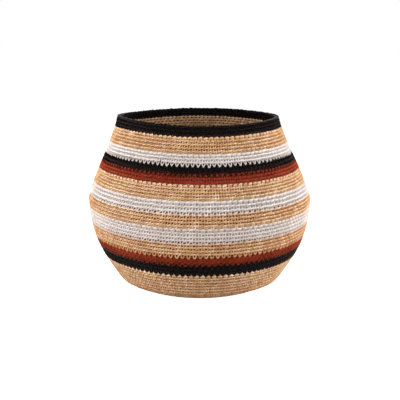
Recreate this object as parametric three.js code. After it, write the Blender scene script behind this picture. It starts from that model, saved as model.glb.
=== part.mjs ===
// Round-bellied basket, crocheted in rounds of single stitches from the centre of the base up to the rim.
// Each stripe is a yarn of its own, worked into the loops of the stripe below it, and is a ring of its own.
// Millimetres, +Z up, origin at the middle of the underside of the base.

import * as THREE from 'three';

// Outline of the outside of the wall
const BASE_RADIUS = 79.5; // flat part that the basket stands on
const HEEL_RADIUS = 125; // where the bottom has turned up into the wall
const HEEL_HEIGHT = 19;
const HEEL_SLOPE = 57; // degrees above level
const BELLY_RADIUS = 165;
const BELLY_HEIGHT = 131.5;
const RIM_RADIUS = 118.5;
const HEIGHT = 252; // to the top of the rounded rim
const RIM_LEAN = 9.5; // degrees that the neck leans inwards at the rim

// How far the outline holds its direction beside each of those places
const BASE_HOLD_LENGTH = 11.5;
const HEEL_HOLD_LENGTH_BELOW = 9.5;
const HEEL_HOLD_LENGTH_ABOVE = 36;
const BELLY_HOLD_LENGTH_BELOW = 53.5;
const BELLY_HOLD_LENGTH_ABOVE = 18.5;
const RIM_HOLD_LENGTH = 30.5;

// Crochet
const WALL = 6; // thickness of one layer
const BEAD = 1.2; // how far a round stands out from the groove between two rounds
const FLOOR_PITCH = 5; // width of one round of the base
const YARN_GAP = 0.3; // between the last round of one yarn and the first of the next
const ROUNDS_PER_INNER_FACET = 3; // the inside of the wall is smoother than the outside

// Facets
const SEGMENTS = 36;
const RIM_STEPS = 4;

const YARNS = {
  natural: { color: '#cca47c', roughness: 0.85 },
  white: { color: '#d9cfc9', roughness: 0.8 },
  red: { color: '#7d2a1a', roughness: 0.85 },
  black: { color: '#131214', roughness: 0.8 },
};

// Bands from the edge of the base up to the rim. A rise is the height of one round of that band before the
// bands share out the wall: rounds are looser where the yarn is thick or changes, and tight at the rim.
const BANDS = [
  { name: 'natural_heel_band', yarn: 'natural', rounds: 8, rise: 5.75 },
  { name: 'natural_foot_band', yarn: 'natural', rounds: 7, rise: 6.23 },
  { name: 'black_hip_band', yarn: 'black', rounds: 3, rise: 6.2 },
  { name: 'red_hip_band', yarn: 'red', rounds: 3, rise: 4.6 },
  { name: 'natural_lower_belly_band', yarn: 'natural', rounds: 4, rise: 5.1 },
  { name: 'white_lower_belly_band', yarn: 'white', rounds: 4, rise: 5.25 },
  { name: 'natural_belly_band', yarn: 'natural', rounds: 4, rise: 4.85 },
  { name: 'white_upper_belly_band', yarn: 'white', rounds: 3, rise: 5.9 },
  { name: 'natural_shoulder_band', yarn: 'natural', rounds: 5, rise: 4.34 },
  { name: 'red_shoulder_band', yarn: 'red', rounds: 3, rise: 4.63 },
  { name: 'black_shoulder_band', yarn: 'black', rounds: 2, rise: 6.25 },
  { name: 'white_neck_band', yarn: 'white', rounds: 3, rise: 5.0 },
  { name: 'natural_neck_band', yarn: 'natural', rounds: 5, rise: 4.66 },
  { name: 'black_rim', yarn: 'black', rounds: 3, rise: 4.93 },
];

const polar = (degrees, length) => {
  const angle = THREE.MathUtils.degToRad(degrees);
  return new THREE.Vector2(length * Math.cos(angle), length * Math.sin(angle));
};

// The rounded rim cuts off the outer corner of the wall, so the outline ends a little off the full height.
function outlineTop() {
  const lean = THREE.MathUtils.degToRad(RIM_LEAN);
  return HEIGHT - (WALL / 2) * (1 - Math.cos(lean) - Math.sin(lean));
}

// Outside of the wall as (radius, height), from the edge of the base to the rim
function makeOutline() {
  const base = new THREE.Vector2(BASE_RADIUS, 0);
  const heel = new THREE.Vector2(HEEL_RADIUS, HEEL_HEIGHT);
  const belly = new THREE.Vector2(BELLY_RADIUS, BELLY_HEIGHT);
  const rim = new THREE.Vector2(RIM_RADIUS, outlineTop());
  const bend = (from, leave, arrive, to) =>
    new THREE.CubicBezierCurve(from, from.clone().add(leave), to.clone().sub(arrive), to);
  const outline = new THREE.CurvePath();
  outline.add(bend(base, polar(0, BASE_HOLD_LENGTH), polar(HEEL_SLOPE, HEEL_HOLD_LENGTH_BELOW), heel));
  outline.add(bend(heel, polar(HEEL_SLOPE, HEEL_HOLD_LENGTH_ABOVE), polar(90, BELLY_HOLD_LENGTH_BELOW), belly));
  outline.add(bend(belly, polar(90, BELLY_HOLD_LENGTH_ABOVE), polar(90 + RIM_LEAN, RIM_HOLD_LENGTH), rim));
  return outline;
}

const outline = makeOutline();
const wallLength = outline.getLength();

// Point of the wall at a distance up the outline and a depth below its outside
function wallPoint(distance, depth) {
  const t = THREE.MathUtils.clamp(distance / wallLength, 0, 1);
  const along = outline.getTangent(t);
  const inwards = new THREE.Vector2(-along.y, along.x);
  return outline.getPoint(t).addScaledVector(inwards, depth);
}

// Beaded outside of a run of rounds: a groove, then a crest in the middle of each round, and a last groove
function beads(start, end, rounds, place) {
  const pitch = (end - start) / rounds;
  const points = [place(start, BEAD)];
  for (let round = 0; round < rounds; round += 1) {
    points.push(place(start + (round + 0.5) * pitch, 0));
    points.push(place(start + (round + 1) * pitch, BEAD));
  }
  return points;
}

// Smooth inside of the wall, from the upper end down
function innerFace(start, end, rounds) {
  const facets = Math.ceil(rounds / ROUNDS_PER_INNER_FACET);
  const points = [];
  for (let facet = facets; facet >= 0; facet -= 1) {
    points.push(wallPoint(start + ((end - start) * facet) / facets, WALL));
  }
  return points;
}

// Half-round top edge of the wall, from its outside over to its inside
function rimRound(distance) {
  const radius = WALL / 2;
  const points = [];
  for (let step = 0; step <= RIM_STEPS; step += 1) {
    const turn = (Math.PI * step) / RIM_STEPS;
    points.push(wallPoint(distance + radius * Math.sin(turn), radius - radius * Math.cos(turn)));
  }
  return points;
}

// Turns an outline of (radius, height) points round the basket's axis
function revolve(points) {
  return new THREE.LatheGeometry(points, SEGMENTS).rotateX(Math.PI / 2);
}

function bandGeometry(start, end, rounds, isRim) {
  const top = isRim ? end - WALL / 2 : end;
  const outside = beads(start, top, rounds, wallPoint);
  const edge = isRim ? rimRound(top).slice(0, -1) : [];
  const inside = innerFace(start, top, rounds);
  return revolve([...outside, ...edge, ...inside, outside[0]]);
}

// Flat round base: its underside is level, and its floor shows the rounds
function baseGeometry() {
  const radius = BASE_RADIUS - YARN_GAP / 2;
  const rounds = Math.round(radius / FLOOR_PITCH);
  const floor = beads(0, radius, rounds, (distance, depth) => new THREE.Vector2(distance, WALL - depth));
  const underside = [new THREE.Vector2(0, 0), new THREE.Vector2(radius, 0)];
  return revolve([...underside, ...floor.reverse()]);
}

function addPiece(group, name, yarn, geometry) {
  const material = new THREE.MeshStandardMaterial({ ...YARNS[yarn], metalness: 0 });
  const mesh = new THREE.Mesh(geometry, material);
  mesh.name = name;
  group.add(mesh);
}

function makeBasket() {
  const basket = new THREE.Group();
  addPiece(basket, 'base_disc', 'natural', baseGeometry());
  const worked = BANDS.reduce((sum, band) => sum + band.rounds * band.rise, 0);
  let start = 0;
  BANDS.forEach((band, index) => {
    const end = start + (band.rounds * band.rise * wallLength) / worked;
    const isRim = index === BANDS.length - 1;
    const top = isRim ? end : end - YARN_GAP / 2;
    addPiece(basket, band.name, band.yarn, bandGeometry(start + YARN_GAP / 2, top, band.rounds, isRim));
    start = end;
  });
  return basket;
}

export default makeBasket();
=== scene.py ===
"""Round-bellied basket, crocheted in rounds of single stitches and striped in four yarns.

Every stripe is a piece of its own: the stitches of its rounds, outside and inside, over a thin core. Stitches
are worked one into another from the middle of the base up to the rim, as they are on the real basket.
"""

import logging
import math
from dataclasses import dataclass, field, replace
from enum import Enum

import bpy
import numpy as np
from bpy.types import Collection, ID, Material, Mesh, Node, NodeOutputs, NodeSocket, NodeTree, Object, World
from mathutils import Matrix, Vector


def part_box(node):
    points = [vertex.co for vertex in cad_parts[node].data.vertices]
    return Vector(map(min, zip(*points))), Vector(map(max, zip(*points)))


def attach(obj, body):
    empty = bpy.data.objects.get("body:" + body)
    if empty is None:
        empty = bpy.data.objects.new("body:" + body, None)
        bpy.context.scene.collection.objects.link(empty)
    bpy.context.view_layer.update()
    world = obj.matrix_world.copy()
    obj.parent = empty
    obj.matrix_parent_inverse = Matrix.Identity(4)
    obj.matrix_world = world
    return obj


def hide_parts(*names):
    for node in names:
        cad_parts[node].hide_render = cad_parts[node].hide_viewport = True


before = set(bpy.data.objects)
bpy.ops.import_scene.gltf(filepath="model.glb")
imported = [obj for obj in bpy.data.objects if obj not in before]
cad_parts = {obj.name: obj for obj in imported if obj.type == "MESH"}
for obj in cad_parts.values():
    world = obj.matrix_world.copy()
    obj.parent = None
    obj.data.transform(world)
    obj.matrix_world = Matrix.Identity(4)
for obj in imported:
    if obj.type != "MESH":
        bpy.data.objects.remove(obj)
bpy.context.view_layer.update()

LOG = logging.getLogger("basket")
MM = 0.001
ROOT_BODY = "root"
FRAME_FIT = 1.5 * MM  # how close the outline has to come to the frame's own bands
SEED = 7

# Names of what each stitch carries into the yarn's finish
# Shade of each stitch: painted shade of its round and of the holes, with a random lightness and drift
SHADE = "shade"
# Painted shade along each strand, with a random lightness of its own
STRAND_SHADE_AND_TONE = "tone"
ALONG_AXIS = "along"
OUTWARD_AXIS = "outward"
STITCH_SIZE = "stitch_size"
YARN_UV = "yarn"


class Yarn(Enum):
    """The yarns of the basket, by the record's material slot."""

    NATURAL = "natural_yarn"
    WHITE = "white_yarn"
    RED = "red_yarn"
    BLACK = "black_yarn"


@dataclass(frozen=True)
class YarnFinish:
    """Finish of one twisted yarn.

    Colours are written as they look in plain light (sRGB). A length of yarn drifts between the main colour and
    the faded one, is painted darker in the groove between its plies as painted shade, and holds a few darker
    fibres. Light that comes from between strands takes on their colour, so what is painted darker as painted
    shade is also painted richer in colour.

    Attributes:
        main: Colour of most of the yarn.
        faded: Colour where it is paler.
        roughness: Roughness of its fibres.
        shine: Strength of their reflection.
        sheen: Strength of the fuzz at the edges.
        hollow_shade: Painted shade in the holes between the strands: how light the yarn looks there, 0 to 1.
        shade_richness: Powers of the painted darkness for red, green and blue, so that painted shade is also
        painted richer in colour.
        sheen_tint: Colour of the fuzz.
        sheen_roughness: How far from the edges the fuzz still shows.
        bump: Strength of the relief of the plies.
        drift_scale: How often the colour drifts, per metre.
        fibre_depth: How much darker the dark fibres are.
        groove_shade: How much darker the groove between two plies is painted, as painted shade.
    """

    main: tuple[float, float, float]
    faded: tuple[float, float, float]
    roughness: float
    shine: float
    sheen: float
    hollow_shade: float
    shade_richness: tuple[float, float, float] = (1.0, 1.4, 1.8)
    sheen_tint: tuple[float, float, float] = (1.0, 1.0, 1.0)
    sheen_roughness: float = 0.5
    bump: float = 0.35
    drift_scale: float = 38.0
    fibre_depth: float = 0.25
    groove_shade: float = 0.55

    PLIES = 2
    TWIST_PITCH = 7.0  # millimetres of yarn for one full turn
    FIBRES_ROUND = 9.0
    FIBRES_ALONG = 0.35  # per millimetre
    FIBRE_SHIFT = 50.0  # sets the fibres of one stitch apart from those of the next, by its shade
    NOISE_DETAIL = 2.0
    DRIFT_RANGE = (0.35, 0.65)  # noise at which the main colour ends and the faded one starts
    GROOVE_RANGE = (0.28, 0.48)  # share of a ply off its middle where the groove starts and is deepest
    FIBRE_RANGE = (0.42, 0.68)  # noise at which the light fibres end and the dark ones start
    ROUGHNESS_RANGE = (-0.06, 0.08)  # added to the roughness for light fibres and for dark ones
    RELIEF = 0.35 * MM
    FIBRE_RELIEF = 0.5  # how far the dark fibres stand out, as a share of the groove's depth

    def material(self, name: str) -> Material:
        """Builds the node material of this yarn.

        Args:
            name: Name of the material.

        Returns:
            The material, which reads the pieces' shade attribute and their yarn map.
        """
        material = bpy.data.materials.new(name)
        nodes = NodeKit.cleared(material)
        shade = nodes.add("ShaderNodeAttribute", {"attribute_name": SHADE}).outputs["Fac"]
        twist, fibres = self._strand_pattern(nodes, shade)
        place = nodes.add("ShaderNodeTexCoord").outputs["Object"]
        drift = nodes.noise(place, self.drift_scale, self.NOISE_DETAIL)
        colour = nodes.mix(nodes.ramp(drift, *self.DRIFT_RANGE), linear(self.main), linear(self.faded))
        # Painted light: the shade attribute, darkened by painted shade in the ply groove and by the dark fibres
        light = nodes.math("MULTIPLY", shade, nodes.mapped(twist, 1.0, 1.0 - self.groove_shade))
        light = nodes.math("MULTIPLY", light, nodes.mapped(fibres, 1.0, 1.0 - self.fibre_depth))
        powers = zip(("Red", "Green", "Blue"), self.shade_richness)
        rich = nodes.add(
            "ShaderNodeCombineColor", **{channel: nodes.math("POWER", light, power) for channel, power in powers},
        )
        low, high = self.ROUGHNESS_RANGE
        height = nodes.math("SUBTRACT", nodes.scaled(fibres, self.FIBRE_RELIEF), twist)
        bump = nodes.add("ShaderNodeBump", Strength=self.bump, Distance=self.RELIEF, Height=height)
        shader = nodes.add("ShaderNodeBsdfPrincipled", **{
            "Base Color": nodes.mix(1.0, colour, rich.outputs["Color"], "MULTIPLY"),
            "Roughness": nodes.mapped(fibres, self.roughness + low, self.roughness + high),
            "Normal": bump.outputs["Normal"],
            "Specular IOR Level": self.shine,
            "Sheen Weight": self.sheen,
            "Sheen Roughness": self.sheen_roughness,
            "Sheen Tint": linear(self.sheen_tint),
        })
        nodes.add("ShaderNodeOutputMaterial", Surface=shader.outputs["BSDF"])
        return material

    def _strand_pattern(self, nodes: "NodeKit", shade: NodeSocket) -> tuple[NodeSocket, ...]:
        """Adds the pattern of a twisted strand on the yarn map.

        Args:
            nodes: Node builder of the material.
            shade: The pieces' shade.

        Returns:
            How deep in the groove between two plies a point lies, and how dark its fibre is, both from 0 to 1.
        """
        yarn_map = nodes.add("ShaderNodeUVMap", {"uv_map": YARN_UV})
        split = nodes.add("ShaderNodeSeparateXYZ", Vector=yarn_map.outputs["UV"])
        along, around = split.outputs["X"], split.outputs["Y"]
        turned = nodes.math("ADD", nodes.scaled(along, 1.0 / self.TWIST_PITCH), around)
        ply = nodes.math("FRACT", nodes.scaled(turned, float(self.PLIES)))
        off_middle = nodes.math("ABSOLUTE", nodes.math("SUBTRACT", ply, 0.5))
        strand = nodes.add(
            "ShaderNodeCombineXYZ", X=nodes.scaled(along, self.FIBRES_ALONG),
            Y=nodes.scaled(turned, self.FIBRES_ROUND), Z=nodes.scaled(shade, self.FIBRE_SHIFT),
        )
        noise = nodes.noise(strand.outputs["Vector"], 1.0, self.NOISE_DETAIL)
        return nodes.ramp(off_middle, *self.GROOVE_RANGE), nodes.ramp(noise, *self.FIBRE_RANGE)


FINISHES = {
    Yarn.NATURAL: YarnFinish((0.9, 0.79, 0.622), (0.908, 0.78, 0.66), roughness=0.6, shine=0.05, sheen=0.6,
                             hollow_shade=0.12, shade_richness=(1.0, 1.9, 3.0), sheen_tint=(0.96, 0.98, 0.9), drift_scale=60.0,
                             groove_shade=0.45),
    Yarn.WHITE: YarnFinish((0.868, 0.84, 0.832), (0.873, 0.845, 0.832), roughness=0.7, shine=0.05, sheen=0.05,
                           hollow_shade=0.2, shade_richness=(0.5, 0.54, 0.57), fibre_depth=0.12, groove_shade=0.25),
    Yarn.RED: YarnFinish((0.58, 0.185, 0.105), (0.66, 0.27, 0.19), roughness=0.6, shine=0.05, sheen=0.6,
                         hollow_shade=0.08, shade_richness=(1.2, 2.0, 2.2), sheen_tint=(1.0, 0.56, 0.36), fibre_depth=0.4),
    Yarn.BLACK: YarnFinish((0.014, 0.009, 0.009), (0.023, 0.016, 0.015), roughness=0.6, shine=0.03, sheen=0.11,
                           hollow_shade=0.1, sheen_tint=(1.0, 0.87, 0.85), sheen_roughness=0.4),
}


def linear(colour: tuple[float, float, float]) -> tuple[float, float, float, float]:
    """Turns a colour as it looks (sRGB) into the light that Blender works with.

    Args:
        colour: Red, green and blue from 0 to 1.

    Returns:
        Linear red, green and blue, and an alpha of 1.
    """
    def channel(value: float) -> float:
        """One channel by the sRGB curve."""
        return value / 12.92 if value <= 0.04045 else ((value + 0.055) / 1.055) ** 2.4

    return (channel(colour[0]), channel(colour[1]), channel(colour[2]), 1.0)


class NodeKit:
    """Adds nodes to a tree and links them, for materials and Geometry Nodes alike."""

    FIRST_COLOUR, SECOND_COLOUR, MIXED_COLOUR = 6, 7, 2  # sockets of a Mix node that share their names with others

    def __init__(self, tree: NodeTree) -> None:
        """Keeps the tree that nodes go to."""
        self.tree = tree

    @classmethod
    def cleared(cls, owner: Material | World) -> "NodeKit":
        """Empties the node tree of a material or world, and starts on it.

        Args:
            owner: The material or world.

        Returns:
            A builder for its tree.
        """
        owner.use_nodes = True
        owner.node_tree.nodes.clear()
        return cls(owner.node_tree)

    def add(self, kind: str, settings: dict[str, object] | None = None, **inputs: object) -> Node:
        """Adds a node.

        Args:
            kind: Blender's name for the node type.
            settings: Its properties, by name.
            **inputs: Socket, number or colour for each input, by name.

        Returns:
            The new node.
        """
        node = self.tree.nodes.new(kind)
        for name, value in (settings or {}).items():
            setattr(node, name, value)
        for name, value in inputs.items():
            self.feed(node.inputs[name], value)
        return node

    def work(self, kind: str, settings: dict[str, object], *values: object) -> NodeSocket:
        """Adds a node whose first inputs are given in their order.

        Args:
            kind: Blender's name for the node type.
            settings: Its properties, by name.
            *values: Socket or number for each of its first inputs.

        Returns:
            Its first output.
        """
        node = self.add(kind, settings)
        for target, value in zip(node.inputs, values):
            self.feed(target, value)
        return node.outputs[0]

    def feed(self, target: NodeSocket, value: object) -> None:
        """Gives an input a link or a plain value.

        Args:
            target: Input socket.
            value: Output socket, number or colour.
        """
        if isinstance(value, NodeSocket):
            self.tree.links.new(value, target)
        else:
            target.default_value = value

    def math(self, operation: str, first: object, second: object = 0.0) -> NodeSocket:
        """Adds a Math node for one or two sockets or numbers."""
        return self.work("ShaderNodeMath", {"operation": operation}, first, second)

    def scaled(self, value: NodeSocket, factor: float) -> NodeSocket:
        """Multiplies a socket by a number."""
        return self.math("MULTIPLY", value, factor)

    def mapped(self, value: NodeSocket, low: float, high: float) -> NodeSocket:
        """Maps 0 to 1 onto low to high."""
        return self._range(value, 0.0, 1.0, low, high)

    def ramp(self, value: NodeSocket, low: float, high: float) -> NodeSocket:
        """Maps low to high onto 0 to 1, held at both ends."""
        return self._range(value, low, high, 0.0, 1.0)

    def _range(self, value: NodeSocket, *limits: float) -> NodeSocket:
        """Adds a Map Range node with its four limits."""
        names = ("From Min", "From Max", "To Min", "To Max")
        return self.add("ShaderNodeMapRange", Value=value, **dict(zip(names, limits))).outputs["Result"]

    def noise(self, place: NodeSocket, scale: float, detail: float) -> NodeSocket:
        """Adds a Noise Texture node at a place."""
        return self.add("ShaderNodeTexNoise", Vector=place, Scale=scale, Detail=detail).outputs["Fac"]

    def mix(self, factor: object, first: object, second: object, blend: str = "MIX") -> NodeSocket:
        """Mixes two colours.

        Args:
            factor: Socket or number from 0 to 1.
            first: Colour or socket at 0.
            second: Colour or socket at 1.
            blend: Blend type.

        Returns:
            The mixed colour's socket.
        """
        node = self.add("ShaderNodeMix", {"data_type": "RGBA", "blend_type": blend}, Factor=factor)
        self.feed(node.inputs[self.FIRST_COLOUR], first)
        self.feed(node.inputs[self.SECOND_COLOUR], second)
        return node.outputs[self.MIXED_COLOUR]


@dataclass(frozen=True)
class Outline:
    """Outside of the basket from the middle of the base to the rim, as radius and height in millimetres.

    The distance along it is 0 at the edge of the base, negative on the base and positive up the wall. The slope
    and the lean are in degrees. A hold is how far the outline keeps its direction beside a place.
    """

    base_radius: float = 79.5
    heel_radius: float = 125.0
    heel_height: float = 19.0
    heel_slope: float = 57.0
    belly_radius: float = 165.0
    belly_height: float = 131.5
    rim_radius: float = 118.5
    height: float = 252.0
    rim_lean: float = 9.5
    wall: float = 6.0
    base_hold: float = 11.5
    heel_hold_below: float = 9.5
    heel_hold_above: float = 36.0
    belly_hold_below: float = 53.5
    belly_hold_above: float = 18.5
    rim_hold: float = 30.5

    STEPS = 200

    def table(self) -> tuple[np.ndarray, np.ndarray]:
        """Walks the outline in small steps.

        Returns:
            Distance of each step, and its (radius, height), both in metres.
        """
        lean = math.radians(self.rim_lean)
        # The rounded edge of the wall, which starts where the outline ends, reaches the full height
        top = self.height - self.wall / 2 * (1 - math.cos(lean) - math.sin(lean))
        base, heel = np.array([self.base_radius, 0.0]), np.array([self.heel_radius, self.heel_height])
        belly, rim = np.array([self.belly_radius, self.belly_height]), np.array([self.rim_radius, top])
        slope, inwards = self.heel_slope, 90 + self.rim_lean
        curves = [
            self._bend(base, polar(0, self.base_hold), polar(slope, self.heel_hold_below), heel),
            self._bend(heel, polar(slope, self.heel_hold_above), polar(90, self.belly_hold_below), belly),
            self._bend(belly, polar(90, self.belly_hold_above), polar(inwards, self.rim_hold), rim),
        ]
        wall = np.concatenate([curves[0], curves[1][1:], curves[2][1:]])
        floor = np.linspace([0.0, 0.0], base, self.STEPS)
        points = np.concatenate([floor[:-1], wall])
        steps = np.linalg.norm(np.diff(points, axis=0), axis=1)
        distance = np.concatenate([[0.0], np.cumsum(steps)]) - self.base_radius
        return distance * MM, points * MM

    def _bend(self, start: np.ndarray, leave: np.ndarray, arrive: np.ndarray, end: np.ndarray) -> np.ndarray:
        """Points of a cubic curve that leaves and arrives along two arms.

        Args:
            start: First point.
            leave: Arm at the first point.
            arrive: Arm at the last point.
            end: Last point.

        Returns:
            The curve's points.
        """
        t = np.linspace(0, 1, self.STEPS)[:, None]
        first, second = start + leave, end - arrive
        return (1 - t) ** 3 * start + 3 * (1 - t) ** 2 * t * first + 3 * (1 - t) * t**2 * second + t**3 * end


def polar(degrees: float, length: float) -> np.ndarray:
    """Vector of a length in a direction above level."""
    angle = math.radians(degrees)
    return length * np.array([math.cos(angle), math.sin(angle)])


@dataclass(frozen=True)
class Handwork:
    """How far the soft basket is out of true, in millimetres at the rim and fading to nothing at the base.

    Angles run from the front towards +X.
    """

    lean_left: float = 2.9
    bow_right: float = 0.8  # at half height
    oval_share: float = 0.008
    dip_back: float = 1.75
    dip_right: float = 0.7
    saddle: float = 0.8
    saddle_turned: float = 0.5
    three_waves: float = 1.0

    def rise(self, angle: np.ndarray) -> np.ndarray:
        """Waves of the rim.

        Args:
            angle: Angle of each point.

        Returns:
            Height above the rim's mean, in metres.
        """
        wave = self.dip_back * np.cos(angle) - self.dip_right * np.sin(angle)
        wave -= self.saddle * np.cos(2 * angle) + self.saddle_turned * np.sin(2 * angle)
        return (wave - self.three_waves * np.cos(3 * angle)) * MM

    def shift(self, share: np.ndarray) -> np.ndarray:
        """How far the axis lies towards +X, in metres, at each share of the height."""
        return (self.bow_right * 4 * share * (1 - share) - self.lean_left * share) * MM


class Wall:
    """The basket's outside surface: the outline turned about the axis and eased by hand."""

    NUDGE = 0.2 * MM
    NUDGE_ANGLE = 0.01
    STAND = 1.2 * MM  # how far the stitches underneath stand out, so that they and not the wall touch the floor
    STAND_FADE = 3.0 * MM  # height at which that ends

    def __init__(self, outline: Outline, handwork: Handwork) -> None:
        """Walks the outline once and keeps its table.

        Args:
            outline: Outside of the basket.
            handwork: How far it is out of true.
        """
        self.outline = outline
        self.handwork = handwork
        self.distances, self.points = outline.table()

    @property
    def length(self) -> float:
        """Distance from the edge of the base to the end of the outline."""
        return float(self.distances[-1])

    def section(self, distance: np.ndarray) -> tuple[np.ndarray, np.ndarray]:
        """Reads the true outline.

        Args:
            distance: Distance of each point along it.

        Returns:
            Radius and height of each point.
        """
        radius = np.interp(distance, self.distances, self.points[:, 0])
        height = np.interp(distance, self.distances, self.points[:, 1])
        return radius, height

    def place(self, angle: np.ndarray, distance: np.ndarray) -> np.ndarray:
        """Points on the outside of the wall.

        Args:
            angle: Angle of each point round the axis, from the front towards +X.
            distance: Distance of each point along the outline.

        Returns:
            Points in metres.
        """
        radius, height = self.section(distance)
        share = height / (self.outline.height * MM)
        radius = radius * (1 + self.handwork.oval_share * share * np.cos(2 * angle))
        across = radius * np.sin(angle) + self.handwork.shift(share)
        stand = self.STAND * np.clip(1 - height / self.STAND_FADE, 0.0, 1.0)
        height = height + stand + share * self.handwork.rise(angle)
        return np.stack([across, -radius * np.cos(angle), height], axis=-1)

    def facing(self, angle: np.ndarray, distance: np.ndarray) -> tuple[np.ndarray, np.ndarray]:
        """Directions on the wall: along the round and outwards.

        Args:
            angle: Angle of each point.
            distance: Distance of each point.

        Returns:
            Two sets of unit vectors.
        """
        low = np.maximum(distance - self.NUDGE, self.distances[0] + self.NUDGE)
        high = np.minimum(distance + self.NUDGE, self.distances[-1])
        up = unit(self.place(angle, high) - self.place(angle, np.minimum(low, high - self.NUDGE)))
        along = self.place(angle + self.NUDGE_ANGLE, distance) - self.place(angle - self.NUDGE_ANGLE, distance)
        along = unit(along - up * np.sum(along * up, axis=-1, keepdims=True))
        return along, np.cross(along, up)

    def seat(self, angle: np.ndarray, distance: np.ndarray, depth: float = 0.0) -> tuple[np.ndarray, ...]:
        """Points at a depth below the outside, and the directions along the round and outwards there."""
        along, outward = self.facing(angle, distance)
        return self.place(angle, distance) - outward * depth, along, outward


def unit(vectors: np.ndarray) -> np.ndarray:
    """Vectors of length 1 in the same directions."""
    return vectors / np.linalg.norm(vectors, axis=-1, keepdims=True)


class Stitch(Enum):
    """The stitches that show on the outside.

    Most are plain. One that starts a yarn is short, or stout where its legs hide more of the yarn below, and one
    that ends a yarn is filled.
    """

    PLAIN = "plain_stitch"
    SHORT = "short_stitch"
    STOUT = "stout_stitch"
    FILLED = "filled_stitch"


@dataclass(frozen=True)
class Band:
    """One stripe of the basket.

    Attributes:
        node: The frame's node that the stripe stands for.
        yarn: Its yarn.
        rounds: Number of crocheted rounds.
        rise: Height of a round in millimetres, before the bands share out the wall.
        stitches: Stitches in its last round.
        shades: How light each round is painted: its first round, over the yarn below, then the rounds between,
        then the last one, under the yarn above. Partly painted shade: the heel, which faces down, is painted
        darker, and some rounds that meet another yarn are painted lighter or darker.
        first: Stitch of its first round.
        last: Stitch of its last round.
    """

    node: str
    yarn: Yarn
    rounds: int
    rise: float
    stitches: int
    shades: tuple[float, float, float] = (1.0, 1.0, 1.0)
    first: Stitch = Stitch.PLAIN
    last: Stitch = Stitch.PLAIN

    def look(self, index: int) -> tuple[float, Stitch]:
        """Look of a round.

        Args:
            index: Its number, counted from the lowest.

        Returns:
            Its shade and stitch.
        """
        if index == 0:
            return self.shades[0], self.first
        if index == self.rounds - 1:
            return self.shades[2], self.last
        return self.shades[1], Stitch.PLAIN


BASE_ROUNDS = 16
BASE_INCREASE = 6
# Band shades are partly painted shade: the heel, which faces down, is painted darker
BANDS = (
    Band("natural_heel_band", Yarn.NATURAL, 8, 5.75, 112, (0.82, 0.8, 0.84)),
    Band("natural_foot_band", Yarn.NATURAL, 7, 6.23, 121, (0.9, 0.98, 1.07), last=Stitch.FILLED),
    Band("black_hip_band", Yarn.BLACK, 3, 6.2, 126, first=Stitch.STOUT, last=Stitch.FILLED),
    Band("red_hip_band", Yarn.RED, 3, 4.6, 128, (0.5, 0.82, 0.82), Stitch.STOUT),
    Band("natural_lower_belly_band", Yarn.NATURAL, 4, 5.1, 128, (0.97, 0.95, 0.95)),
    Band("white_lower_belly_band", Yarn.WHITE, 4, 5.25, 129, (0.88, 1.0, 0.78), Stitch.SHORT, Stitch.FILLED),
    Band("natural_belly_band", Yarn.NATURAL, 4, 4.85, 129, (1.08, 0.97, 0.97), Stitch.SHORT),
    Band("white_upper_belly_band", Yarn.WHITE, 3, 5.9, 129, (0.9, 1.05, 0.75), Stitch.SHORT, Stitch.FILLED),
    Band("natural_shoulder_band", Yarn.NATURAL, 5, 4.34, 129, (1.08, 0.98, 1.03), Stitch.SHORT, Stitch.FILLED),
    Band("red_shoulder_band", Yarn.RED, 3, 4.63, 126, (0.96, 0.96, 0.68)),
    Band("black_shoulder_band", Yarn.BLACK, 2, 6.25, 122),
    Band("white_neck_band", Yarn.WHITE, 3, 5.0, 120, (0.82, 1.1, 0.85), last=Stitch.FILLED),
    Band("natural_neck_band", Yarn.NATURAL, 5, 4.66, 114, (1.03, 0.935, 0.97), Stitch.SHORT, Stitch.FILLED),
    Band("black_rim", Yarn.BLACK, 3, 4.93, 114, first=Stitch.SHORT),
)
BASE_NODE = "base_disc"


@dataclass(frozen=True)
class Round:
    """One crocheted round: where it runs, how high it is, each stitch's angle and width, its shade and stitch."""

    middle: float
    height: float
    angles: np.ndarray
    widths: np.ndarray
    shade: float
    stitch: Stitch


def neighbours(angles: np.ndarray) -> tuple[np.ndarray, np.ndarray]:
    """Angles of the stitches before and after each one of a closed round."""
    return np.append(angles[-1] - 2 * math.pi, angles[:-1]), np.append(angles[1:], angles[0] + 2 * math.pi)


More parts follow.
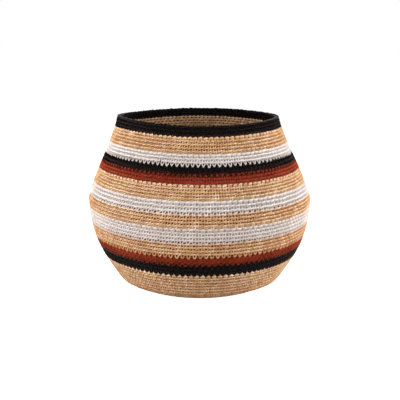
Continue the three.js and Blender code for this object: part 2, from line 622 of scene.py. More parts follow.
class Crochet:
    """Works the basket's rounds one into another, from the middle of the base to the rim."""

    SLANT = 0.5  # a stitch sits this share of its width beyond the one that it is worked into
    EASE_PASSES = 40

    def __init__(self, wall: Wall) -> None:
        """Starts at the middle of the base.

        Args:
            wall: The basket's surface.
        """
        self.wall = wall
        self.random = np.random.default_rng(SEED)
        self.angles = np.arange(BASE_INCREASE) * 2 * math.pi / BASE_INCREASE

    def base(self) -> list[Round]:
        """Rounds of the base, each with six stitches more than the last.

        Returns:
            The rounds from the middle out.
        """
        height = self.wall.outline.base_radius * MM / BASE_ROUNDS
        rounds = []
        for index in range(BASE_ROUNDS):
            if index:
                self._work(BASE_INCREASE * (index + 1))
            rounds.append(self._round((index + 0.5 - BASE_ROUNDS) * height, height, (1.0, Stitch.PLAIN)))
        return rounds

    def band(self, start: float, end: float, band: Band) -> list[Round]:
        """Rounds of one stripe, whose stitches change to its own number bit by bit.

        Args:
            start: Distance of the stripe's lower edge.
            end: Distance of its upper edge.
            band: The stripe.

        Returns:
            Its rounds from the lowest up.
        """
        height = (end - start) / band.rounds
        before = len(self.angles)
        rounds = []
        for index in range(band.rounds):
            share = (index + 1) / band.rounds
            self._work(round(before + (band.stitches - before) * share))
            rounds.append(self._round(start + (index + 0.5) * height, height, band.look(index)))
        return rounds

    def _work(self, count: int) -> None:
        """Works the next round: each stitch into the one below, with increases or decreases spread evenly.

        Args:
            count: Stitches in the new round.
        """
        angles = self.angles
        angles = angles + self.SLANT * (neighbours(angles)[1] - angles)
        change = count - len(angles)
        if change:
            spots = (np.arange(abs(change)) + self.random.random()) / abs(change) * len(angles)
            spots = spots.astype(int) % len(angles)
            if change > 0:
                after = neighbours(angles)[1]
                angles = np.insert(angles, spots + 1, (angles[spots] + after[spots]) / 2)
            else:
                angles = np.delete(angles, spots)
        for _ in range(self.EASE_PASSES):
            before, after = neighbours(angles)
            angles = angles / 2 + (before + after) / 4
        self.angles = angles

    def _round(self, middle: float, height: float, look: tuple[float, Stitch]) -> Round:
        """The round at the present angles.

        Args:
            middle: Distance of the round's middle.
            height: Height of the round.
            look: Its shade and stitch.

        Returns:
            The round with its stitches' widths.
        """
        radius = self.wall.section(np.array([middle]))[0][0]
        before, after = neighbours(self.angles)
        return Round(middle, height, self.angles.copy(), (after - before) / 2 * radius, *look)


@dataclass(frozen=True)
class Strand:
    """One run of yarn in a stitch.

    Attributes:
        points: Its centre line as (across, up, depth) in millimetres of a stitch 8 wide and 5 high, with the
            depth measured from the face of the wall.
        radii: Half thickness at each of those points.
        shade_tones: Painted shade at each of those points, as its yarn lies more or less in the shade of others.
        sides: Number of sides of its section.
        rings: Number of sections.
    """

    points: tuple[tuple[float, float, float], ...]
    radii: tuple[float, ...]
    shade_tones: tuple[float, ...] = (1.0, 1.0, 1.0, 1.0)
    sides: int = 5
    rings: int = 5

    WIDTH = 8.0
    HEIGHT = 5.0
    NUDGE_SHARES = (1.0, 1.0, 0.5)  # of the largest move: across, up and in depth

    def mirrored(self, light: float) -> "Strand":
        """The same strand on the other side of the stitch, with its painted shade scaled."""
        points = tuple((-x, y, z) for x, y, z in self.points)
        return replace(self, points=points, shade_tones=tuple(light * tone for tone in self.shade_tones))

    def nudged(self, random: np.random.Generator, amount: float) -> "Strand":
        """The strand with its inner points moved a little, as no two stitches are alike.

        Args:
            random: Source of the moves.
            amount: Largest move in millimetres.

        Returns:
            The moved strand.
        """
        moves = random.uniform(-amount, amount, (len(self.points), 3)) * np.array(self.NUDGE_SHARES)
        moved = np.array(self.points) + moves
        return replace(self, points=tuple(map(tuple, moved.tolist())))

    def tube(self) -> tuple[np.ndarray, list[list[int]], list[list[tuple[float, float]]], np.ndarray]:
        """Builds the closed tube of the strand.

        Returns:
            Vertices in metres (across, up, outwards), faces with their normals out, the yarn map of each
            face's corners (millimetres along the strand, share of a turn round it), and each vertex's painted
            shade.
        """
        control = np.array(self.points) * [1.0, 1.0, -1.0]
        at = np.linspace(0, len(control) - 1, self.rings)
        centres = np.stack([smooth_through(control[:, axis], at) for axis in range(3)], axis=1)
        radii = np.interp(at, np.arange(len(control)), self.radii)
        shade_tones = np.interp(at, np.arange(len(control)), self.shade_tones)
        tangents = unit(np.gradient(centres, axis=0))
        sideways = unit(np.cross(tangents, [0.0, 0.0, 1.0]))
        outwards = np.cross(sideways, tangents)
        turn = np.arange(self.sides) * 2 * math.pi / self.sides
        ring = np.cos(turn)[None, :, None] * sideways[:, None] + np.sin(turn)[None, :, None] * outwards[:, None]
        vertices = (centres[:, None] + ring * radii[:, None, None]).reshape(-1, 3) * MM
        along = np.concatenate([[0.0], np.cumsum(np.linalg.norm(np.diff(centres, axis=0), axis=1))])
        corners = []
        for step in range(self.rings - 1):
            for side in range(self.sides):
                corners.append([(step, side), (step + 1, side), (step + 1, side + 1), (step, side + 1)])
        corners.append([(0, side) for side in range(self.sides)])
        corners.append([(self.rings - 1, side) for side in reversed(range(self.sides))])
        faces = [[ring * self.sides + side % self.sides for ring, side in face] for face in corners]
        places = [[(along[ring], side / self.sides) for ring, side in face] for face in corners]
        return vertices, faces, places, np.repeat(shade_tones, self.sides)


def carry(mesh: Mesh, name: str, values: np.ndarray) -> None:
    """Gives each point of a mesh a number or, where values holds rows of three, a vector."""
    kind, key = ("FLOAT_VECTOR", "vector") if values.ndim == 2 else ("FLOAT", "value")
    mesh.attributes.new(name, kind, "POINT").data.foreach_set(key, values.ravel())


def put(name: str, data: ID) -> Object:
    """Makes an object and links it to the scene.

    Args:
        name: Name of the object.
        data: Its mesh, lamp or camera.

    Returns:
        The object.
    """
    item = bpy.data.objects.new(name, data)
    bpy.context.scene.collection.objects.link(item)
    return item


def smooth_through(values: np.ndarray, at: np.ndarray) -> np.ndarray:
    """Catmull-Rom curve through evenly numbered values.

    Args:
        values: One coordinate of the points that the curve passes.
        at: Where to read it, from 0 to one less than the number of points.

    Returns:
        The coordinate at each of those places.
    """
    padded = np.concatenate([[2 * values[0] - values[1]], values, [2 * values[-1] - values[-2]]])
    index = np.clip(at.astype(int), 0, len(values) - 2)
    t = at - index
    before, start, end, after = (padded[index + offset] for offset in range(4))
    return 0.5 * (
        2 * start + (end - before) * t + (2 * before - 5 * start + 4 * end - after) * t**2
        + (3 * start - before - 3 * end + after) * t**3
    )


# Painted shade of the far legs, which lie a little deeper
FAR_LEG_LIGHT = 0.92  # of the leg that the yarn comes back up, which lies a little deeper
FAR_INNER_LEG_LIGHT = 0.9
# The third row of numbers of a strand, where given, is its painted shade: darker where its yarn dips under others
LEG = Strand(
    ((0.1, -5.3, 0.8), (0.65, -4.5, 0.0), (1.55, -3.1, 0.1), (2.0, -1.5, 0.5), (2.15, 0.2, 1.9)),
    (0.75, 0.87, 0.85, 0.85, 0.8), (0.85, 0.95, 0.98, 0.92, 0.8),
)
SHORT_LEG = replace(
    LEG, points=((0.1, -4.3, 0.8), (0.6, -3.6, 0.0), (1.4, -2.5, 0.1), (1.95, -1.2, 0.5), (2.15, 0.2, 1.9)),
)
STOUT_LEG = replace(
    LEG, points=((0.1, -3.6, 0.9), (0.6, -3.1, 0.2), (1.4, -2.3, 0.2), (2.0, -1.2, 0.5), (2.3, 0.2, 1.9)),
    radii=(0.9, 1.25, 1.35, 1.2, 0.9),
)
TOP_LOOP = Strand(
    ((-4.9, -0.1, 2.1), (-2.5, 0.55, 0.85), (0.0, 1.1, 0.45), (2.5, 1.5, 0.5), (4.7, 1.4, 1.5)),
    (0.85, 1.05, 1.15, 1.05, 0.85), (0.8, 0.92, 1.0, 1.0, 0.95),
)
FULL_LOOP = Strand(
    ((-4.9, -0.1, 2.1), (-2.5, 0.4, 0.9), (0.0, 0.3, 0.7), (2.5, 1.2, 0.6), (4.7, 1.4, 1.5)),
    (0.85, 1.5, 1.9, 1.4, 0.85), (0.8, 0.92, 1.0, 1.0, 0.9),
)
INNER_BAR = Strand(
    ((-4.1, 0.2, 2.4), (-1.4, 1.1, 1.1), (1.4, 1.1, 1.05), (4.1, 0.2, 2.3)), (1.0, 1.35, 1.35, 1.0),
    sides=4, rings=4,
)
INNER_LEG = Strand(
    ((-1.9, -4.2, 2.4), (-1.4, -2.2, 1.1), (-0.9, 0.1, 2.2)), (0.9, 1.2, 1.0), (0.9, 0.85, 0.8), sides=4, rings=3,
)
RIM_FRONT = Strand(
    ((-4.3, -0.8, 1.3), (-1.6, 0.1, 1.35), (1.6, 0.1, 2.1), (4.2, -0.6, 3.2)), (1.1, 1.3, 1.3, 1.0),
)
RIM_BACK = Strand(
    ((-4.3, -0.8, 4.7), (-1.6, 0.1, 4.65), (1.6, 0.1, 3.9), (4.2, -0.6, 2.8)), (1.1, 1.3, 1.3, 1.0),
)
STRAY_STRAND = Strand(
    ((-0.5, -2.2, 1.2), (-0.1, -0.4, 0.1), (0.5, 1.6, -0.3), (0.9, 3.2, 0.6)), (1.0, 1.1, 0.8, 0.4),
)


@dataclass(frozen=True)
class StitchShape:
    """The strands that make one kind of stitch, and a few hand-worked versions of it."""

    name: str
    strands: tuple[Strand, ...]
    versions: int = 6
    unevenness: float = 0.26
    uneven_tone: float = 0.12

    def collection(self) -> Collection:
        """Makes one object for each version, in a collection of their own.

        Returns:
            The collection, which isn't in the scene.
        """
        random = np.random.default_rng(SEED)
        group = bpy.data.collections.new(self.name)
        for version in range(self.versions):
            group.objects.link(self._object(f"{self.name}_{version}", random))
        return group

    def _object(self, name: str, random: np.random.Generator) -> Object:
        """Makes one version.

        Args:
            name: Name of the object.
            random: Source of its unevenness.

        Returns:
            The object, with smooth faces and the yarn map.
        """
        vertices, faces, places, shade_tones = [], [], [], []
        for strand in self.strands:
            tube, strand_faces, strand_places, strand_shade_tones = strand.nudged(random, self.unevenness).tube()
            first = sum(len(block) for block in vertices)
            vertices.append(tube)
            shade_tones.append(strand_shade_tones * (1 + random.uniform(-self.uneven_tone, self.uneven_tone)))
            faces += [[first + corner for corner in face] for face in strand_faces]
            places += strand_places
        mesh = bpy.data.meshes.new(name)
        mesh.from_pydata(np.concatenate(vertices).tolist(), [], faces)
        layer = mesh.uv_layers.new(name=YARN_UV)
        layer.data.foreach_set("uv", np.array([place for face in places for place in face]).ravel())
        carry(mesh, STRAND_SHADE_AND_TONE, np.concatenate(shade_tones))
        mesh.polygons.foreach_set("use_smooth", [True] * len(mesh.polygons))
        return bpy.data.objects.new(name, mesh)


OUTSIDE = (
    StitchShape(Stitch.PLAIN.value, (LEG, LEG.mirrored(FAR_LEG_LIGHT), TOP_LOOP)),
    StitchShape(Stitch.SHORT.value, (SHORT_LEG, SHORT_LEG.mirrored(FAR_LEG_LIGHT), TOP_LOOP)),
    StitchShape(Stitch.STOUT.value, (STOUT_LEG, STOUT_LEG.mirrored(FAR_LEG_LIGHT), TOP_LOOP)),
    StitchShape(Stitch.FILLED.value, (LEG, LEG.mirrored(FAR_LEG_LIGHT), FULL_LOOP)),
)
INSIDE = StitchShape("inside_stitch", (INNER_BAR, INNER_LEG, INNER_LEG.mirrored(FAR_INNER_LEG_LIGHT)))
EDGE = StitchShape("rim_stitch", (RIM_FRONT, RIM_BACK))
STRAY = StitchShape("stray_strand", (STRAY_STRAND,), versions=1, unevenness=0.0)


@dataclass
class Stitches:
    """Where stitches of one shape go: a point, two directions, a size and a shade for each."""

    rounds: list[tuple[np.ndarray, ...]] = field(default_factory=list)

    ATTRIBUTES = (ALONG_AXIS, OUTWARD_AXIS, STITCH_SIZE, SHADE)

    def add(self, *values: np.ndarray) -> None:
        """Adds a round: its stitches' points, directions along and outwards, sizes and shades."""
        self.rounds.append(values)

    def points(self, name: str) -> Object:
        """Makes a mesh with one loose vertex for each stitch, which carries the rest as attributes.

        Args:
            name: Name of the object.

        Returns:
            The object.
        """
        places, *carried = (np.concatenate(values) for values in zip(*self.rounds))
        mesh = bpy.data.meshes.new(name)
        mesh.vertices.add(len(places))
        mesh.vertices.foreach_set("co", places.ravel())
        for attribute, values in zip(self.ATTRIBUTES, carried):
            carry(mesh, attribute, values)
        return put(name, mesh)


@dataclass(frozen=True)
class Unevenness:
    """How much the stitches of a piece differ from one another."""

    tilt_degrees: float = 5.5
    size: float = 0.07
    shade: float = 0.12
    seed: int = SEED


class StitchTree:
    """Geometry Nodes that set a stitch on every point, turn and size it, and give it its shade and yarn."""

    INPUTS = (
        ("Stitch", "NodeSocketCollection"),
        ("Material", "NodeSocketMaterial"),
        ("Tilt", "NodeSocketFloat"),
        ("Uneven size", "NodeSocketFloat"),
        ("Uneven shade", "NodeSocketFloat"),
        ("Seed", "NodeSocketInt"),
    )
    PICKS = 1000  # spread of the whole number that picks a version
    FOR_VERSION, FOR_TILT, FOR_SIZE, FOR_SHADE = range(4)  # added to the seed, one for each random value

    def __init__(self, uneven: Unevenness) -> None:
        """Builds the tree once, for all pieces.

        Args:
            uneven: How uneven their stitches are.
        """
        self.uneven = uneven
        self.tree = bpy.data.node_groups.new("set_stitches", "GeometryNodeTree")
        face = self.tree.interface
        face.new_socket("Points", in_out="INPUT", socket_type="NodeSocketGeometry")
        for name, kind in self.INPUTS:
            face.new_socket(name, in_out="INPUT", socket_type=kind)
        face.new_socket("Geometry", in_out="OUTPUT", socket_type="NodeSocketGeometry")
        self.nodes = NodeKit(self.tree)
        self._build()

    def _build(self) -> None:
        """Adds the nodes."""
        nodes = self.nodes
        inputs = nodes.add("NodeGroupInput").outputs
        stitches = nodes.add(
            "GeometryNodeCollectionInfo", Collection=inputs["Stitch"],
            **{"Separate Children": True, "Reset Children": True},
        )
        placed = nodes.add("GeometryNodeInstanceOnPoints", **{
            "Points": inputs["Points"],
            "Instance": stitches.outputs["Instances"],
            "Pick Instance": True,
            "Instance Index": self._chance(inputs["Seed"], self.FOR_VERSION),
            "Rotation": self._rotation(inputs),
            "Scale": self._size(inputs),
        })
        own = self._attribute(SHADE, "FLOAT")
        uneven = self._chance(inputs["Seed"], self.FOR_SHADE, inputs["Uneven shade"])
        uneven = nodes.math("ADD", uneven, 1.0)
        shaded = self._shaded(placed.outputs["Instances"], nodes.math("MULTIPLY", own, uneven), "INSTANCE")
        real = nodes.add("GeometryNodeRealizeInstances", Geometry=shaded)
        # Painted shade of each strand multiplies the stitch's shade
        strand_shaded = nodes.math("MULTIPLY", own, self._attribute(STRAND_SHADE_AND_TONE, "FLOAT"))
        strand_shaded = self._shaded(real.outputs["Geometry"], strand_shaded, "POINT")
        dressed = nodes.add("GeometryNodeSetMaterial", Geometry=strand_shaded, Material=inputs["Material"])
        nodes.add("NodeGroupOutput", Geometry=dressed.outputs["Geometry"])

    def _shaded(self, geometry: NodeSocket, shade: NodeSocket, domain: str) -> NodeSocket:
        """Stores a shade.

        Args:
            geometry: What it is stored on.
            shade: Its value.
            domain: INSTANCE for one of each stitch, POINT for one of each vertex.

        Returns:
            The geometry's socket.
        """
        kind = {"data_type": "FLOAT", "domain": domain}
        node = self.nodes.add("GeometryNodeStoreNamedAttribute", kind, Name=SHADE, Geometry=geometry, Value=shade)
        return node.outputs["Geometry"]

    def _attribute(self, name: str, kind: str) -> NodeSocket:
        """Reads an attribute of the points, by its name and data type."""
        node = self.nodes.add("GeometryNodeInputNamedAttribute", {"data_type": kind}, Name=name)
        return next(socket for socket in node.outputs if socket.name == "Attribute" and socket.enabled)

    def _chance(self, seed: NodeSocket, offset: int, reach: NodeSocket | None = None) -> NodeSocket:
        """Adds a seeded random value for each point.

        Args:
            seed: The tree's seed.
            offset: Added to the seed, so that the values differ from each other.
            reach: Half the spread of a number about 0, or None for a whole number up to PICKS.

        Returns:
            The value's socket.
        """
        nodes = self.nodes
        data_type, kind = ("FLOAT", "VALUE") if reach else ("INT", "INT")
        limits = (nodes.scaled(reach, -1.0), reach) if reach else (0, self.PICKS)
        node = nodes.add("FunctionNodeRandomValue", {"data_type": data_type})
        sockets = {(socket.name, socket.type): socket for socket in node.inputs if socket.enabled}
        for name, limit in zip(("Min", "Max"), limits):
            nodes.feed(sockets[(name, kind)], limit)
        nodes.feed(sockets[("Seed", "INT")], nodes.math("ADD", seed, float(offset)))
        return next(socket for socket in node.outputs if socket.enabled)

    def _rotation(self, inputs: NodeOutputs) -> NodeSocket:
        """Turns a stitch to face out of the wall, with a small tilt of its own.

        Args:
            inputs: The tree's inputs.

        Returns:
            The rotation's socket.
        """
        nodes = self.nodes
        outward, along = (self._attribute(name, "FLOAT_VECTOR") for name in (OUTWARD_AXIS, ALONG_AXIS))
        axes = {"primary_axis": "Z", "secondary_axis": "X"}
        facing = nodes.work("FunctionNodeAxesToRotation", axes, outward, along)
        tilt = nodes.add("ShaderNodeCombineXYZ", Z=self._chance(inputs["Seed"], self.FOR_TILT, inputs["Tilt"]))
        tilting = nodes.work("FunctionNodeEulerToRotation", {}, tilt.outputs["Vector"])
        return nodes.work("FunctionNodeRotateRotation", {"rotation_space": "LOCAL"}, facing, tilting)

    def _size(self, inputs: NodeOutputs) -> NodeSocket:
        """Sizes a stitch to its place, with a small share of its own.

        Args:
            inputs: The tree's inputs.

        Returns:
            The scale's socket.
        """
        own = self._chance(inputs["Seed"], self.FOR_SIZE, inputs["Uneven size"])
        share = self.nodes.math("ADD", own, 1.0)
        scaled = self.nodes.add("ShaderNodeVectorMath", {"operation": "SCALE"}, Scale=share)
        self.nodes.feed(scaled.inputs[0], self._attribute(STITCH_SIZE, "FLOAT_VECTOR"))
        return scaled.outputs["Vector"]

    def mesh(self, stitches: Stitches, shape: Collection, material: Material) -> Mesh:
        """Makes the mesh of all stitches of one shape in a piece.

        Args:
            stitches: Where they go.
            shape: Their versions.
            material: Their yarn.

        Returns:
            The mesh, with the yarn on its only slot.
        """
        points = stitches.points(f"{shape.name}_points")
        uneven = self.uneven
        modifier = points.modifiers.new("stitches", "NODES")
        modifier.node_group = self.tree
        values = {"Stitch": shape, "Material": material, "Tilt": math.radians(uneven.tilt_degrees),
                  "Uneven size": uneven.size, "Uneven shade": uneven.shade, "Seed": uneven.seed}
        for item in self.tree.interface.items_tree:
            if item.in_out == "INPUT" and item.name in values:
                modifier[item.identifier] = values[item.name]
        bpy.context.view_layer.update()
        graph = bpy.context.evaluated_depsgraph_get()
        mesh = bpy.data.meshes.new_from_object(points.evaluated_get(graph))
        for attribute in (ALONG_AXIS, OUTWARD_AXIS, STITCH_SIZE, STRAND_SHADE_AND_TONE):
            mesh.attributes.remove(mesh.attributes[attribute])
        bpy.data.objects.remove(points)
        return mesh


@dataclass(frozen=True)
class StrayStrand:
    """A strand of one stripe that was caught up in the first round of the next."""

    node: str = "black_shoulder_band"
    angle: float = math.radians(-21.9)
    rise: float = 2.2 * MM


@dataclass
class CoreShell:
    """The dense middle of the wall, which closes the holes between strands and lies in their shadow; its yarn is
    painted dark there, as painted shade.
    """

    outer_depth: float = 2.6 * MM
    inner_depth: float = 3.9 * MM
    segments: int = 144
    overlap: float = 0.3 * MM

    ROW = 4 * MM
    HUB = 1 * MM  # radius of the hole that is left in the middle of the base, under the stitches

    def mesh(self, wall: Wall, start: float, end: float, material: Material, shade: float) -> Mesh:
        """Builds the closed ring, which on the base leaves only a small hole in the middle.

        Args:
            wall: The basket's surface.
            start: Distance of its lower edge.
            end: Distance of its upper edge.
            material: Its yarn.
            shade: Painted shade of its yarn between the strands: how light it looks there.

        Returns:
            The mesh, with the shade attribute and the yarn map.
        """
        steps = max(2, round((end - start) / self.ROW))
        rows = np.linspace(start - self.overlap, end + self.overlap, steps + 1)
        rows = np.clip(rows, wall.distances[0] + self.HUB, wall.length)
        angle = np.arange(self.segments) * 2 * math.pi / self.segments
        grid, distance = np.meshgrid(angle, rows)
        outer, inner = (wall.seat(grid, distance, depth)[0] for depth in (self.outer_depth, self.inner_depth))
        loop = np.concatenate([outer, inner[::-1]])
        vertices = loop.reshape(-1, 3)
        index = np.arange(len(vertices)).reshape(loop.shape[:2])
        above = np.roll(index, -1, axis=0)
        corners = [index, np.roll(index, -1, axis=1), np.roll(above, -1, axis=1), above]
        faces = np.stack(corners, axis=-1).reshape(-1, 4)
        mesh = bpy.data.meshes.new("core")
        mesh.from_pydata(vertices.tolist(), [], faces.tolist())
        mesh.uv_layers.new(name=YARN_UV)
        carry(mesh, SHADE, np.full(len(vertices), shade))
        mesh.polygons.foreach_set("use_smooth", [True] * len(mesh.polygons))
        mesh.materials.append(material)
        return mesh


@dataclass
class Basket:
    """The whole basket: its rounds, dressed band by band.

    Attributes:
        wall: Its outside surface.
        wall_depth: Thickness of the wall.
        edge_depth: How far below the end of the outline the chain on the rim lies.
        rim_margin: How far below it the last round ends.
        rim_core_margin: How far below it the core ends.
        hole_rise: How far a yarn's core is shifted up, to show in the holes of its own stitches.
        inner_rise: How far the stitches inside sit above those outside.
        inner_fade: Distance from the rim over which that starts.
        wander: How far a stitch strays from its round.
        drift_stitches: Number of stitches over which the shade drifts.
        drift_share: How far it drifts.
        core: Middle of the wall.
        uneven: How much stitches differ.
        stray: The strand that is caught up.
    """

    wall: Wall
    wall_depth: float = 6.0 * MM
    edge_depth: float = 2.0 * MM
    rim_margin: float = 0.3 * MM
    rim_core_margin: float = 2.2 * MM
    hole_rise: float = 2.4 * MM
    inner_rise: float = 2.4 * MM
    inner_fade: float = 15.0 * MM
    wander: float = 0.3 * MM
    drift_stitches: float = 9.0
    drift_share: float = 0.06
    core: CoreShell = field(default_factory=CoreShell)
    uneven: Unevenness = field(default_factory=Unevenness)
    stray: StrayStrand = StrayStrand()

    CHECK_STEPS = 50
    FEWEST_KNOTS = 3

    def __post_init__(self) -> None:
        """Makes what all bands share."""
        self.random = np.random.default_rng(SEED)
        self.tree = StitchTree(self.uneven)
        self.shapes = {shape.name: shape.collection() for shape in (*OUTSIDE, INSIDE, EDGE, STRAY)}
        self.materials = {yarn: FINISHES[yarn].material(yarn.value) for yarn in Yarn}

    def build(self) -> list[Object]:
        """Builds every piece, from the base up.

        Returns:
            The pieces.
        """
        crochet = Crochet(self.wall)
        middle = -self.wall.outline.base_radius * MM
        pieces = [self._piece(BASE_NODE, Yarn.NATURAL, crochet.base(), (middle, 0.0))]
        total = sum(band.rounds * band.rise for band in BANDS)
        start = 0.0
        for band in BANDS:
            end = start + band.rounds * band.rise / total * self.wall.length
            self._check(band.node, start, end)
            worked_to = end - self.rim_margin if band is BANDS[-1] else end
            rounds = crochet.band(start, worked_to, band)
            pieces.append(self._piece(band.node, band.yarn, rounds, (start, end)))
            start = end
        return pieces

    def _check(self, node: str, start: float, end: float) -> None:
        """Compares a band's place, by both faces of the true wall, with the box of the frame's node.

        Args:
            node: Name of the node.
            start: Distance of the band's lower edge.
            end: Distance of its upper edge.

        Raises:
            ValueError: If the band is off by more than FRAME_FIT.
        """
        low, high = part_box(node)
        radius, height = self.wall.section(np.linspace(start, end, self.CHECK_STEPS))
        climb = unit(np.gradient(np.stack([radius, height], axis=-1), axis=0))
        heights = np.concatenate([height, height + climb[:, 0] * self.wall_depth])
        off = max(abs(high.x - radius.max()), abs(low.z - heights.min()), abs(high.z - heights.max()))
        LOG.info("%s lies within %.2f mm of the frame", node, off / MM)
        if off > FRAME_FIT:
            raise ValueError(f"{node} is {off / MM:.1f} mm off the frame")

    def _piece(self, node: str, yarn: Yarn, rounds: list[Round], edges: tuple[float, float]) -> Object:
        """Builds one piece, puts it under the root body and hides the frame's node.

        Args:
            node: The frame's node that it stands for.
            yarn: Its yarn.
            rounds: Its rounds.
            edges: Distances of its lower and upper edge.

        Returns:
            The piece.
        """
        outside, inside = {row.stitch: Stitches() for row in rounds}, Stitches()
        for row in rounds:
            self._work_round(row, outside[row.stitch], inside)
        material = self.materials[yarn]
        is_rim = node == BANDS[-1].node
        low = edges[0] + (0.0 if node == BASE_NODE else self.hole_rise)
        top = edges[1] - self.rim_core_margin if is_rim else edges[1] + self.hole_rise
        parts = [
            self.core.mesh(self.wall, low, top, material, FINISHES[yarn].hollow_shade),
            self.tree.mesh(inside, self.shapes[INSIDE.name], material),
        ]
        for stitch, stitches in outside.items():
            parts.append(self.tree.mesh(stitches, self.shapes[stitch.value], material))
        if is_rim:
            parts.append(self._edge(rounds[-1], material))
        if node == self.stray.node:
            parts.append(self._stray(edges[1], material))
        piece = joined(f"{node}_stitches", parts)
        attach(piece, ROOT_BODY)
        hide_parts(node)
        LOG.info("%s: %d faces", piece.name, len(piece.data.polygons))
        return piece

    def _work_round(self, row: Round, outside: Stitches, inside: Stitches) -> None:
        """Adds a round's stitches on both sides of the wall.

        Args:
            row: The round.
            outside: Stitches on the outside, added to.
            inside: Stitches on the inside, added to.
        """
        count = len(row.angles)
        distance = row.middle + self.random.uniform(-self.wander, self.wander, count)
        sizes = np.stack([
            row.widths / (Strand.WIDTH * MM), np.full(count, row.height / (Strand.HEIGHT * MM)), np.ones(count),
        ], axis=1)
        shades = row.shade * (1.0 + self.drift_share * self._drift(count))
        outside.add(*self.wall.seat(row.angles, distance), sizes, shades)
        lift = self.inner_rise * np.clip((self.wall.length - distance) / self.inner_fade, 0.0, 1.0)
        points, along, outward = self.wall.seat(row.angles, distance + lift, self.wall_depth)
        inside.add(points, -along, -outward, sizes, shades)

    def _drift(self, count: int) -> np.ndarray:
        """A shade that changes slowly along the round, between -1 and 1, and meets itself.

        Args:
            count: Number of stitches.

        Returns:
            One value for each stitch.
        """
        knots = self.random.uniform(-1, 1, max(self.FEWEST_KNOTS, round(count / self.drift_stitches)))
        places = np.arange(count) / count * len(knots)
        return np.interp(places, np.arange(len(knots) + 1), np.append(knots, knots[0]))

    def _edge(self, row: Round, material: Material) -> Mesh:
        """Builds the chain of loops that lies on the rim.

        Args:
            row: The last round.
            material: Its yarn.

        Returns:
            The chain's mesh.
        """
        chain = Stitches()
        count = len(row.angles)
        distance = np.full(count, self.wall.length - self.edge_depth)
        sizes = np.stack([row.widths / (Strand.WIDTH * MM), np.ones(count), np.ones(count)], axis=1)
        chain.add(*self.wall.seat(row.angles, distance), sizes, np.ones(count))
        return self.tree.mesh(chain, self.shapes[EDGE.name], material)

    def _stray(self, edge: float, material: Material) -> Mesh:
        """Builds the stray strand over the next stripe's first round.

        Args:
            edge: Distance of the upper edge of the strand's own stripe.
            material: Its yarn.

        Returns:
            Its mesh.
        """
        place = np.array([self.stray.angle]), np.array([edge + self.stray.rise])
        alone = Stitches()
        alone.add(*self.wall.seat(*place), np.ones((1, 3)), np.ones(1))
        return self.tree.mesh(alone, self.shapes[STRAY.name], material)


def joined(name: str, meshes: list[Mesh]) -> Object:
    """Joins meshes into one object at the origin.

    Args:
        name: Name of the object.
        meshes: Meshes with the same material.

    Returns:
        The object, linked to the scene.
    """
    objects = [put(f"{name}_part{index}", mesh) for index, mesh in enumerate(meshes)]
    with bpy.context.temp_override(active_object=objects[0], selected_editable_objects=objects):
        bpy.ops.object.join()
    objects[0].name = name
    objects[0].data.name = name
    return objects[0]


@dataclass(frozen=True)
class Lamp:
    """A soft lamp that faces the belly, with its place and size in metres and its power in watts."""

    name: str
    place: tuple[float, float, float]
    size: tuple[float, float]
    power: float


LAMPS = (
    Lamp("left_lamp", (-1.4, -0.5, 0.22), (1.0, 0.6), 31.5),
    Lamp("right_lamp", (1.4, -0.5, 0.22), (1.0, 0.6), 33.0),
    Lamp("high_left_lamp", (-1.0, -0.9, 1.4), (0.8, 0.8), 9.5),
    Lamp("high_right_lamp", (1.0, -0.9, 1.4), (0.8, 0.8), 6.5),
    Lamp("front_lamp", (0.0, -1.9, 0.9), (1.2, 0.7), 11.5),
    Lamp("back_lamp", (0.0, 1.7, 0.75), (1.6, 0.7), 16.0),
)


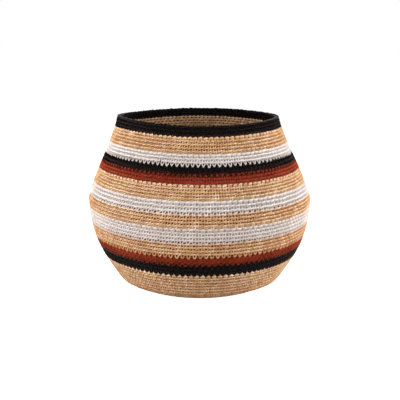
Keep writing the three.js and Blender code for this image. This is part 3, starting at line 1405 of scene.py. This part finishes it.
@dataclass
class Studio:
    """Plain pale floor, soft lamps and the camera."""

    camera_place: tuple[float, float, float] = (-0.0001, -1.1673, 0.3918)
    camera_pitch: float = 77.08
    lens: float = 71.48
    sensor: float = 36.0
    lamp_aim: tuple[float, float, float] = (0.0, 0.0, 0.12)
    floor_reach: float = 12.0
    floor_drop: float = 0.2 * MM
    floor_glow: float = 0.95
    sky: float = 0.05

    WHITE = (1.0, 1.0, 1.0, 1.0)
    SEEN_FLOOR = (0.9, 0.9, 0.9, 1.0)
    BOUNCE_FLOOR = (0.27, 0.115, 0.02, 1.0)  # warm and dim, as the light is between yarns of this colour

    def build(self) -> None:
        """Builds all of it."""
        self._camera()
        self._floor()
        self._world()
        for lamp in LAMPS:
            self._lamp(lamp)

    def _camera(self) -> None:
        """Adds the camera at the photograph's place."""
        data = bpy.data.cameras.new("camera")
        data.lens = self.lens
        data.sensor_width = self.sensor
        camera = put("camera", data)
        camera.location = self.camera_place
        camera.rotation_euler = (math.radians(self.camera_pitch), 0.0, 0.0)
        bpy.context.scene.camera = camera

    def _lamp(self, lamp: Lamp) -> None:
        """Adds a lamp, turned towards the belly.

        Args:
            lamp: The lamp.
        """
        data = bpy.data.lights.new(lamp.name, "AREA")
        data.shape = "RECTANGLE"
        data.size, data.size_y = lamp.size
        data.energy = lamp.power
        light = put(lamp.name, data)
        light.location = lamp.place
        aim = Vector(self.lamp_aim) - Vector(lamp.place)
        light.rotation_euler = aim.to_track_quat("-Z", "Y").to_euler()

    def _floor(self) -> None:
        """Adds the floor, white to the camera apart from the basket's shadow."""
        mesh = bpy.data.meshes.new("floor")
        reach = self.floor_reach
        corners = ((-reach, -reach), (reach, -reach), (reach, reach), (-reach, reach))
        mesh.from_pydata([(x, y, -self.floor_drop) for x, y in corners], [], [(0, 1, 2, 3)])
        mesh.materials.append(self._floor_material())
        put("floor", mesh)

    def _floor_material(self) -> Material:
        """Pale floor that glows a little towards the camera, so that it is white but still holds a shadow.

        Returns:
            The material.
        """
        material = bpy.data.materials.new("pale_floor")
        nodes = NodeKit.cleared(material)
        bounce, seen = (nodes.add("ShaderNodeBsdfDiffuse", Color=colour).outputs[0]
                        for colour in (self.BOUNCE_FLOOR, self.SEEN_FLOOR))
        glow = nodes.add("ShaderNodeEmission", Strength=self.floor_glow).outputs[0]
        lifted = nodes.work("ShaderNodeAddShader", {}, seen, glow)
        nodes.add("ShaderNodeOutputMaterial", Surface=self._by_ray(nodes, bounce, lifted))
        return material

    def _by_ray(self, nodes: NodeKit, unseen: NodeSocket, seen: NodeSocket) -> NodeSocket:
        """Chooses a shader by the kind of ray.

        Args:
            nodes: Builder of the tree.
            unseen: Shader for rays of light.
            seen: Shader for rays that the camera, a reflection or clear glass sends out.

        Returns:
            The chosen shader's socket.
        """
        path = nodes.add("ShaderNodeLightPath").outputs
        direct = nodes.math("MAXIMUM", path["Is Camera Ray"], path["Is Glossy Ray"])
        direct = nodes.math("MAXIMUM", direct, path["Is Transmission Ray"])
        return nodes.work("ShaderNodeMixShader", {}, direct, unseen, seen)

    def _world(self) -> None:
        """White backdrop with a lower level of light."""
        world = bpy.data.worlds.new("studio")
        nodes = NodeKit.cleared(world)
        light, white = (nodes.add("ShaderNodeBackground", Color=self.WHITE, Strength=strength).outputs[0]
                        for strength in (self.sky, 1.0))
        nodes.add("ShaderNodeOutputWorld", Surface=self._by_ray(nodes, light, white))
        bpy.context.scene.world = world
        bpy.context.scene.view_settings.view_transform = "Standard"


def write_sizes() -> None:
    """Updates the view layer."""
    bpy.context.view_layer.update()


def main() -> None:
    """Builds the studio and the basket, and reports each piece."""
    logging.basicConfig(level=logging.INFO, format="%(name)s: %(message)s")
    Studio().build()
    pieces = Basket(Wall(Outline(), Handwork())).build()
    LOG.info("%d pieces, %d faces in all", len(pieces), sum(len(piece.data.polygons) for piece in pieces))
    write_sizes()


if __name__ == "__main__":
    main()
